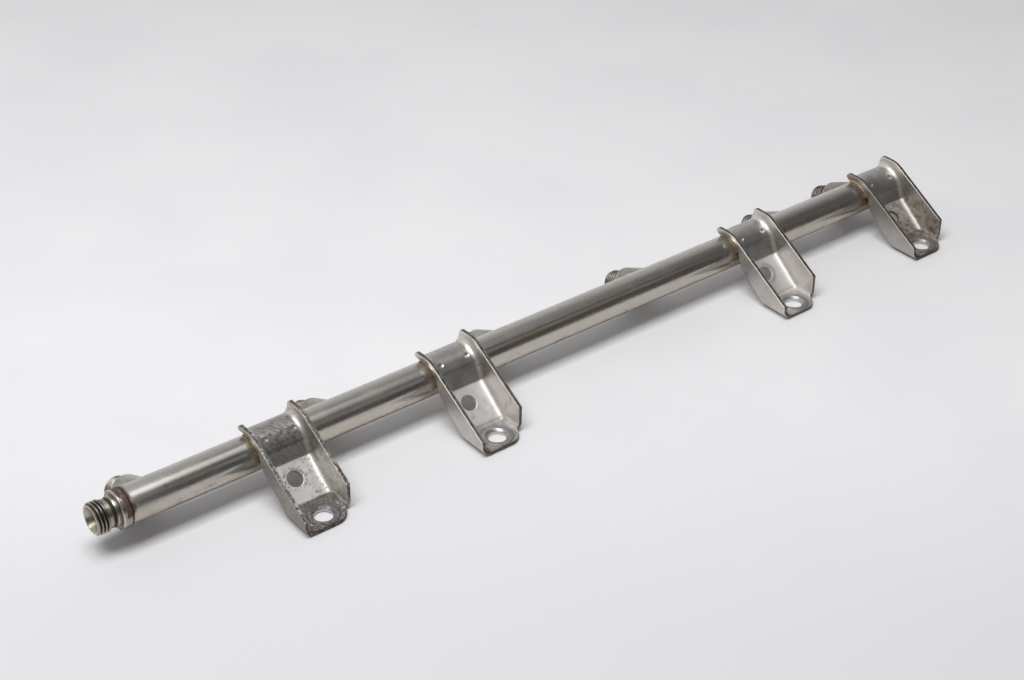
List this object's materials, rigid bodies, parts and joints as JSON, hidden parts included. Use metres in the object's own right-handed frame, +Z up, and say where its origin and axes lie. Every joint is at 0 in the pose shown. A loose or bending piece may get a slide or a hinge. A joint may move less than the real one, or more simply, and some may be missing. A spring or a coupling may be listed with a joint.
{
  "type": "fuel rail",
  "caption": "Straight stainless tube with a threaded inlet at one end, threaded outlet stubs along its back and deep-flanged sheet brackets brazed over it.",
  "frame": {"origin": "middle of the footprint in X and Y, at the level of the feet's undersides", "axes": "+X along the tube from the threaded inlet to the plugged end, +Y towards the outlet stubs (the feet point to -Y), +Z up along the bolt holes"},
  "size_m": [0.4498, 0.0702, 0.0308],
  "materials": {
    "tube_steel": "drawn stainless, heat tinted and lightly stained",
    "fitting_steel": "turned stainless, heat tinted, rust stained at the brazed joints",
    "bracket_steel": "pressed stainless sheet, satin, stained brown in places"
  },
  "bodies": {
    "root": {"rail_tube": "tube_steel", "inlet_fitting": "fitting_steel", "end_plug": "fitting_steel", "outlet_fitting_1": "fitting_steel", "outlet_fitting_2": "fitting_steel", "outlet_fitting_3": "fitting_steel", "outlet_fitting_4": "fitting_steel", "outlet_fitting_5": "fitting_steel", "outlet_fitting_6": "fitting_steel", "bracket_1": "bracket_steel", "bracket_2": "bracket_steel", "bracket_3": "bracket_steel", "bracket_4": "bracket_steel"}
  },
  "joints": []
}
